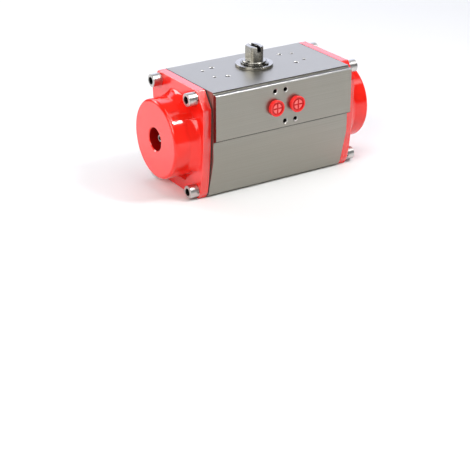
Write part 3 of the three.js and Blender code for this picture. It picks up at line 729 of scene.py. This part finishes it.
def make_gaskets():
    inset = 0.15
    outline = [(y - math.copysign(inset, y), z) for y, z in back_side() + mirrored(back_side())]
    piece = prism("gasket", "x", outline, BODY_END + 0.05, GASKET_OUTER)
    radius = SCREW_HOLE_RADIUS + 0.1
    holes = [rod("x", radius, BODY_END, FLANGE_OUTER, place, 32) for place in SCREW_PLACES]
    cut(piece, rod("x", BORE_RADIUS, BODY_END, FLANGE_OUTER, (0, BORE_HEIGHT), 128), *holes)
    put_at_both_ends(piece, "gasket", "housing", [GASKET])


def make_cap_screws():
    for number, ((y, z), (low, high)) in enumerate(zip(SCREW_PLACES, screw_boxes), 1):
        shank, under = 4, high.x - 7.8
        profile = [
            (0, low.x),
            (shank - 0.6, low.x),
            (shank, low.x + 0.6),
            (shank, under),
            (HEAD_RADIUS, under),
            (HEAD_RADIUS, high.x - 0.7),
            (HEAD_RADIUS - 0.25, high.x - 0.3),
            (HEAD_RADIUS - 0.9, high.x),
            (0, high.x),
        ]
        centre = (y, z)
        piece = turned("screw", "x", profile, 64, centre)
        socket = prism("socket", "x", hexagon(6, centre), high.x - 4, high.x + 1, SOCKET_SHADE_FACE)
        cone = [(0, high.x - 5.5), (2.9, high.x - 3.9), (0, high.x - 3.8)]
        # The lead-in round the socket takes its painted shade too, so the dark patch spreads to its
        # rim.
        lead_in = [(0, high.x - 0.7), (3.1, high.x - 0.7), (3.9, high.x + 0.1), (0, high.x + 0.1)]
        cut(
            piece,
            socket,
            turned("lead_in", "x", lead_in, 48, centre, SOCKET_SHADE_FACE),
            turned("cone", "x", cone, 24, centre, SOCKET_SHADE_FACE),
        )
        soften(piece, 0.18, 2, 38)
        finish = [STAINLESS, SOCKET_PAINTED_SHADE]
        put_at_both_ends(piece, "cap_screw", "housing", finish, f"_{number}")


def make_lock_washers():
    bore = 4.4
    for number, (y, z) in enumerate(SCREW_PLACES, 1):
        profile = [
            (bore, washer_low.x),
            (HEAD_RADIUS, washer_low.x),
            (HEAD_RADIUS, washer_high.x),
            (bore, washer_high.x),
        ]
        piece = turned("washer", "x", profile, 64, (y, z))
        out = math.copysign(1, y)
        near, far = sorted((y + out * 3, y + out * 8))
        slant = 0.5
        split = prism(
            "split",
            "z",
            [
                (washer_low.x - 1, near),
                (washer_high.x + 1, near),
                (washer_high.x + 1, far),
                (washer_low.x - 1, far),
            ],
            z - slant,
            z + slant,
        )
        cut(piece, split)
        soften(piece, 0.2, 2, 38)
        finish = [STAINLESS]
        put_at_both_ends(piece, "lock_washer", "housing", finish, f"_{number}")


def bridge(bm, rings):
    """Joins rings of vertices into one closed skin, with a flat face at each end."""
    for a, b in zip(rings, rings[1:]):
        for i in range(len(a)):
            j = (i + 1) % len(a)
            bm.faces.new((a[i], a[j], b[j], b[i]))
    bm.faces.new(rings[0])
    bm.faces.new(rings[-1])


def threaded_rod(low, high, radius, pitch, centre):
    """A rod along X with a real helical thread that fades out at both ends."""
    sides = 36
    depth = 0.6 * pitch
    steps = round((high - low) / pitch * 8)
    bm = bmesh.new()
    rings = []
    for k in range(steps + 1):
        x = low + (high - low) * k / steps
        fade = min(1, (x - low) / pitch, (high - x) / pitch)
        ring = []
        for i in range(sides):
            turn = i / sides
            phase = ((x - low) / pitch - turn) % 1
            ridge = 1 - abs(2 * phase - 1)
            r = radius - depth * (1 - min(1, ridge * 1.25) * fade)
            angle = 2 * math.pi * turn
            y, z = centre[0] + r * math.cos(angle), centre[1] + r * math.sin(angle)
            ring.append(bm.verts.new((x, y, z)))
        rings.append(ring)
    bridge(bm, rings)
    return mesh_object("stop", bm)


def make_stop_screws():
    centre = (0, BORE_HEIGHT)
    radius, pitch, key, key_depth = 4, 1.25, 4, 4
    piece = threaded_rod(stop_low.x, stop_high.x, radius, pitch, centre)
    deep, over = stop_high.x - key_depth, stop_high.x + 1
    cut(piece, prism("socket", "x", hexagon(key, centre), deep, over, SOCKET_SHADE_FACE))
    finish = [STAINLESS, SOCKET_PAINTED_SHADE]
    put_at_both_ends(piece, "stop_screw", "stop_screw_{end}", finish)


def make_stop_nuts():
    centre = (0, BORE_HEIGHT)
    piece = prism("nut", "x", hexagon(13, centre), nut_low.x, nut_high.x)
    rim, corner, chamfer = 6.6, 7.6, 0.7
    crown = turned(
        "crown",
        "x",
        [
            (0, nut_low.x - 1),
            (rim, nut_low.x),
            (corner, nut_low.x + chamfer),
            (corner, nut_high.x - chamfer),
            (rim, nut_high.x),
            (0, nut_high.x + 1),
        ],
        64,
        centre,
    )
    combine(piece, [crown], "INTERSECT")
    cut(piece, rod("x", STOP_HOLE_RADIUS, nut_low.x - 2, nut_high.x + 2, centre))
    soften(piece, 0.15, 2, 38)
    put_at_both_ends(piece, "stop_nut", "housing", [STAINLESS])


make_body()
make_end_caps()
make_gaskets()
make_cap_screws()
make_lock_washers()
make_stop_screws()
make_stop_nuts()


# ---- Drive shaft and the pieces round it ----
TEETH = 16
MODULE = 2
PITCH_RADIUS = TEETH * MODULE / 2
BACKLASH = 0.2
PRESSURE_ANGLE = math.radians(20)
GEAR_ROOT, GEAR_TIP = 13.3, 17.6
RACK_DEDENDUM, RACK_ADDENDUM = 2.2, 1.6
UPPER_BORE, LOWER_BORE = 12.3, 18.5  # radii of the rings round the two journals


def gear_outline():
    """Involute teeth, radial below the base circle."""
    base = PITCH_RADIUS * math.cos(PRESSURE_ANGLE)
    at_pitch = math.pi / 2 / TEETH - BACKLASH / 2 / PITCH_RADIUS

    def half_angle(radius):
        pressure = math.acos(min(1, base / radius))
        return at_pitch + math.tan(PRESSURE_ANGLE) - PRESSURE_ANGLE - math.tan(pressure) + pressure

    radii = [GEAR_ROOT, base, *(base + (GEAR_TIP - base) * i / 4 for i in range(1, 5))]
    points = []
    for tooth in range(TEETH):
        middle = 2 * math.pi * tooth / TEETH
        for side, order in ((-1, radii), (1, radii[::-1])):
            for radius in order:
                angle = middle + side * half_angle(max(radius, base))
                points.append((radius * math.cos(angle), radius * math.sin(angle)))
    return points


def make_pinion():
    bottom, top = pinion_low.z, pinion_high.z
    collar = 115.5
    groove_low, groove_high = clip_low.z - 0.1, clip_high.z + 0.1
    foot, waist, neck, groove, stub = 18.2, 13.2, 12, 11.2, 9  # radii, from the bottom up
    profile = [
        (0, bottom),
        (foot, bottom),
        (foot, 26),
        (waist, 26),
        (waist, 97.5),
        (neck, 97.5),
        (neck, groove_low),
        (groove, groove_low),
        (groove, groove_high),
        (neck, groove_high),
        (neck, collar - 0.6),
        (neck - 0.6, collar),
        (stub, collar),
        (stub, top - 0.7),
        (stub - 0.7, top),
        (0, top),
    ]
    piece = turned("pinion", "z", profile, SIDES)
    join(piece, prism("gear", "z", gear_outline(), 38, 72))
    flat, low, over = 7, collar + 1, top + 1
    half, socket_roof = 8.5, bottom + 19
    square = [(-half, -half), (half, -half), (half, half), (-half, half)]
    corner = half * math.sqrt(2)
    diamond = [(-corner, 0), (0, -corner), (corner, 0), (0, corner)]
    cut(
        piece,
        block("flat", (flat, -20, low), (20, 20, over)),
        block("flat", (-20, -20, low), (-flat, 20, over)),
        block("slot", (-2, -20, top - 5), (2, 20, over), PAINTED_SHADE_FACE),
        tapped_hole("z", CORE_RADIUS["M6"], top, top - 16, (0, 0)),
        prism("square", "z", square, -1, socket_roof),
        prism("diamond", "z", diamond, -1, socket_roof),
    )
    soften(piece, 0.25, 2, 33)
    # The slot and the tapped hole take the socket's painted shade.
    put(piece, "pinion", "pinion", [SHAFT, MILLED, SOCKET_PAINTED_SHADE])


def make_disc():
    rim = 18.75
    profile = [
        (UPPER_BORE, disc_low.z),
        (rim, disc_low.z),
        (rim, disc_high.z),
        (UPPER_BORE, disc_high.z),
    ]
    piece = turned("disc", "z", profile, 128)
    soften(piece, 0.3, 3, 33)
    put(piece, "top_disc", "pinion", [SHAFT])


def make_circlip():
    """An external circlip, open towards -Y, with a drilled lug at each end."""
    inner, outer, reach = 11.5, 13.5, 15.1
    start, end, lug = -68, 248, 20
    outline = [
        *arc((0, 0), reach, start, start + lug, 6),
        *arc((0, 0), outer, start + lug, end - lug, 72),
        *arc((0, 0), reach, end - lug, end, 6),
        *arc((0, 0), inner, end, start, 80),
    ]
    piece = prism("clip", "z", outline, clip_low.z, clip_high.z)
    holes = []
    for angle in (start + lug / 2, end - lug / 2):
        place = arc((0, 0), 13.3, angle, angle, 1)[0]
        holes.append(rod("z", 0.8, clip_low.z - 1, clip_high.z + 1, place, 20))
    cut(piece, *holes)
    soften(piece, 0.15, 2, 38)
    put(piece, "circlip", "pinion", [CLIP])


def make_shaft_rings():
    """The bushes, seals and thrust ring round the shaft."""
    for node, material, slot in (
        ("thrust_ring", ACETAL, "white_plastic"),
        ("upper_bush", ACETAL, "white_plastic"),
        ("lower_bush", ACETAL, "white_plastic"),
        ("upper_seal", RUBBER, "rubber"),
        ("lower_seal", RUBBER, "rubber"),
    ):
        low, high = box_mm(node)
        outer = high.x
        inner = LOWER_BORE if node.startswith("lower") else UPPER_BORE
        profile = [(inner, low.z), (outer, low.z), (outer, high.z), (inner, high.z)]
        piece = turned(node, "z", profile, SIDES)
        soften(piece, 0.25, 3, 33)
        put(piece, node, "housing", [material])


make_pinion()
make_disc()
make_circlip()
make_shaft_rings()


# ---- Pistons and springs ----
def rack_outline():
    pitch = math.pi * MODULE
    slope = math.tan(PRESSURE_ANGLE)
    half = pitch / 4 - BACKLASH / 2
    root, tip = -PITCH_RADIUS - RACK_DEDENDUM, -PITCH_RADIUS + RACK_ADDENDUM
    at_root, at_tip = half + RACK_DEDENDUM * slope, half - RACK_ADDENDUM * slope
    near = piston_high.x - 16
    points = [(near, -BORE_RADIUS), (near, root)]
    for tooth in range(1, -6, -1):
        middle = (tooth + 0.5) * pitch
        points += [(middle + at_root, root), (middle + at_tip, tip)]
        points += [(middle - at_tip, tip), (middle - at_root, root)]
    return points + [(piston_low.x, root), (piston_low.x, -BORE_RADIUS)]


def make_pistons():
    inner, outer = piston_high.x - 17, piston_high.x
    radius, groove = 41.6, 38.9
    profile = [(0, inner), (radius, inner)]
    for start, end in ((3, 8), (10.5, 15)):
        profile += [(radius, inner + start), (groove, inner + start)]
        profile += [(groove, inner + end), (radius, inner + end)]
    seat_outer, seat_inner, seat = 33, 17.5, outer - 2  # of the springs
    profile += [(radius, outer), (seat_outer, outer), (seat_outer, seat)]
    profile += [(seat_inner, seat), (seat_inner, outer), (0, outer)]
    piece = turned("piston", "x", profile, 128, (0, BORE_HEIGHT))
    half_height = 15.5
    arm = prism("arm", "z", rack_outline(), BORE_HEIGHT - half_height, BORE_HEIGHT + half_height)
    inside = rod("x", 39, piston_low.x - 1, inner + 1, (0, BORE_HEIGHT), 128)
    combine(arm, [inside], "INTERSECT")
    join(piece, arm)
    soften(piece, 0.25, 2, 33)
    put_at_both_ends(piece, "piston", "piston_{end}", [CAST])


def make_piston_rings():
    for node, material, slot in (
        ("piston_seal", RUBBER, "rubber"),
        ("piston_guide_ring", ACETAL, "white_plastic"),
    ):
        low, high = box_mm(node + "_right")
        outer = (high.z - low.z) / 2
        inner = 39.1
        profile = [(inner, low.x), (outer, low.x), (outer, high.x), (inner, high.x)]
        piece = turned(node, "x", profile, 128, (0, BORE_HEIGHT))
        soften(piece, 1.0 if slot == "rubber" else 0.2, 3, 33)
        put_at_both_ends(piece, node, "piston_{end}", [material])


def make_guide_pads():
    low, high = box_mm("rack_guide_pad_right")
    half = (high.z - low.z) / 2
    outer_radius, inner_radius = 41.7, 39.2
    spread = math.degrees(math.asin(half / outer_radius))
    centre = (0, BORE_HEIGHT)
    outer = arc(centre, outer_radius, 180 - spread, 180 + spread, 16)
    inner = arc(centre, inner_radius, 180 + spread, 180 - spread, 16)
    piece = prism("pad", "x", outer + inner, low.x, high.x)
    soften(piece, 0.3, 2, 40)
    put_at_both_ends(piece, "rack_guide_pad", "piston_{end}", [ACETAL])


def coil(name, radius, wire, turns, low, high):
    """Round wire wound along X, its ends cut square."""
    bm = bmesh.new()
    sides = 14
    count = round(turns * 40)
    rings = []
    rise = (high - low - wire) / (turns * 2 * math.pi)
    for k in range(count + 1):
        angle = 2 * math.pi * turns * k / count
        place = low + wire / 2 + rise * angle
        middle = Vector((place, radius * math.cos(angle), radius * math.sin(angle)))
        out = Vector((0, math.cos(angle), math.sin(angle)))
        along = Vector((rise, -radius * math.sin(angle), radius * math.cos(angle))).normalized()
        side = along.cross(out)
        ring = []
        for i in range(sides):
            a = 2 * math.pi * i / sides
            point = middle + (out * math.cos(a) + side * math.sin(a)) * wire / 2
            ring.append(bm.verts.new(point + Vector((0, 0, BORE_HEIGHT))))
        rings.append(ring)
    bridge(bm, rings)
    return mesh_object(name, bm)


def make_springs():
    """The springs, a copy at each end, each with a mesh of its own."""
    for name, radius, wire, turns in (("outer_spring", 29, 5, 5.5), ("inner_spring", 21, 4, 6.5)):
        low, high = box_mm(name + "_right")
        piece = coil(name, radius, wire, turns, low.x, high.x)
        looks = put_at_both_ends(piece, name, "housing", [SPRING])
        for end, made, way in zip(ENDS, looks, (1, -1)):
            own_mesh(made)


make_pistons()
make_piston_rings()
make_guide_pads()
make_springs()


# ---- Port plugs ----
def make_plugs():
    face, tip = plug_low.y, plug_high.y
    seat = -PORT_FACE - 0.2
    stem, collar, groove, rim, recess = 5.6, 7.6, 7.0, 8.0, 6.4  # radii
    groove_back, groove_front, recess_floor = seat - 1.5, seat - 2.3, face + 1.2
    profile = [
        (0, tip),
        (stem - 0.6, tip),
        (stem, tip - 1),
        (stem, seat),
        (collar, seat),
        (collar, groove_back),
        (groove, groove_back),
        (groove, groove_front),
        (rim, groove_front),
        (rim, face),
        (recess, face),
        (recess - 0.1, recess_floor),
        (0, recess_floor),
    ]
    # The groove and the recess take painted shade, and the pads' tops a painted highlight.
    sunk_from = [(groove, groove_back), (recess, face), (recess - 0.1, recess_floor)]
    finish_of_steps = [PLUG_SUNK if point in sunk_from else SKIN for point in profile]
    gap, radius = 0.75, 4.7  # of the four pads in the recess
    for port, x in zip("ab", PORTS):
        centre = (PORT_HEIGHT, x)
        piece = turned("plug", "y", profile, 72, centre, finish_of_steps)
        for quarter in range(4):
            first = quarter * 90
            lean = math.degrees(math.asin(gap / radius))
            inner = (gap, gap)
            turn = Matrix.Rotation(math.radians(first), 2)
            rim = arc((0, 0), radius, lean, 90 - lean, 10)
            corners = [turn @ Vector(point) for point in [inner, *rim]]
            outline = [(centre[0] + u, centre[1] + v) for u, v in corners]
            join(piece, prism("pad", "y", outline, face + 0.2, face + 2, PLUG_SUNK, PLUG_PAD))
        soften(piece, 0.22, 3, 33)
        node = f"port_plug_{port}"
        put(piece, node, node, [PLASTIC, SUNK_PAINTED_SHADE_PLASTIC, PAD_PAINTED_HIGHLIGHT_PLASTIC])


make_plugs()


# ---- Floor, light and camera ----
def make_floor():
    """A plain floor with no material of its own, which Blender shows as a matt pale grey."""
    bm = bmesh.new()
    bmesh.ops.create_grid(bm, x_segments=1, y_segments=1, size=6)
    mesh_object("floor", bm)


def area_light(name, place, target, size, power, color=(1, 1, 1)):
    light = bpy.data.lights.new(name, "AREA")
    light.shape = "RECTANGLE"
    light.size, light.size_y = size
    light.energy = power
    light.color = color
    lamp = bpy.data.objects.new(name, light)
    lamp.location = place
    lamp.rotation_euler = (Vector(target) - Vector(place)).to_track_quat("-Z", "Y").to_euler()
    lamp.visible_camera = False
    bpy.context.scene.collection.objects.link(lamp)


def make_light():
    world = bpy.data.worlds.new("studio")
    bpy.context.scene.world = world
    world.use_nodes = True
    sky = world.node_tree.nodes["Background"]
    sky.inputs["Color"].default_value = (0.93, 0.96, 1.0, 1)
    sky.inputs["Strength"].default_value = 0.13
    area_light("key", (-1.7, -0.8, 1.3), (0, 0, 0.05), (1.4, 1.4), 32, (1, 0.98, 0.95))
    area_light("back softbox", (1.3, 2.0, 1.15), (0, 0, 0.1), (3.4, 1.8), 34, (0.88, 0.93, 1.14))
    area_light("front softbox", (1.02, -0.88, 1.7), (0, 0, 0.06), (0.7, 0.7), 5)
    area_light("boss light", (0.29, -0.37, 0.7), (-0.1, -0.03, 0.085), (0.14, 0.14), 2.6)
    area_light("overhead", (0.2, -0.4, 2.2), (0, 0, 0), (1.6, 1.6), 20)
    area_light("floor light", (-0.8, 1.5, 1.0), (-0.6, 1.0, 0), (0.8, 0.8), 16)


def make_camera():
    data = bpy.data.cameras.new("camera")
    data.sensor_width = 36
    data.lens = 106.07
    data.clip_start = 0.05
    camera = bpy.data.objects.new("camera", data)
    aim = Vector((-0.0321, -0.0154, -0.0608))
    camera.location = (-0.7176, -1.0914, 0.5354)
    camera.rotation_euler = (aim - camera.location).to_track_quat("-Z", "Y").to_euler()
    bpy.context.scene.collection.objects.link(camera)
    bpy.context.scene.camera = camera


make_floor()
make_light()
make_camera()
bpy.context.scene.view_settings.view_transform = "Standard"
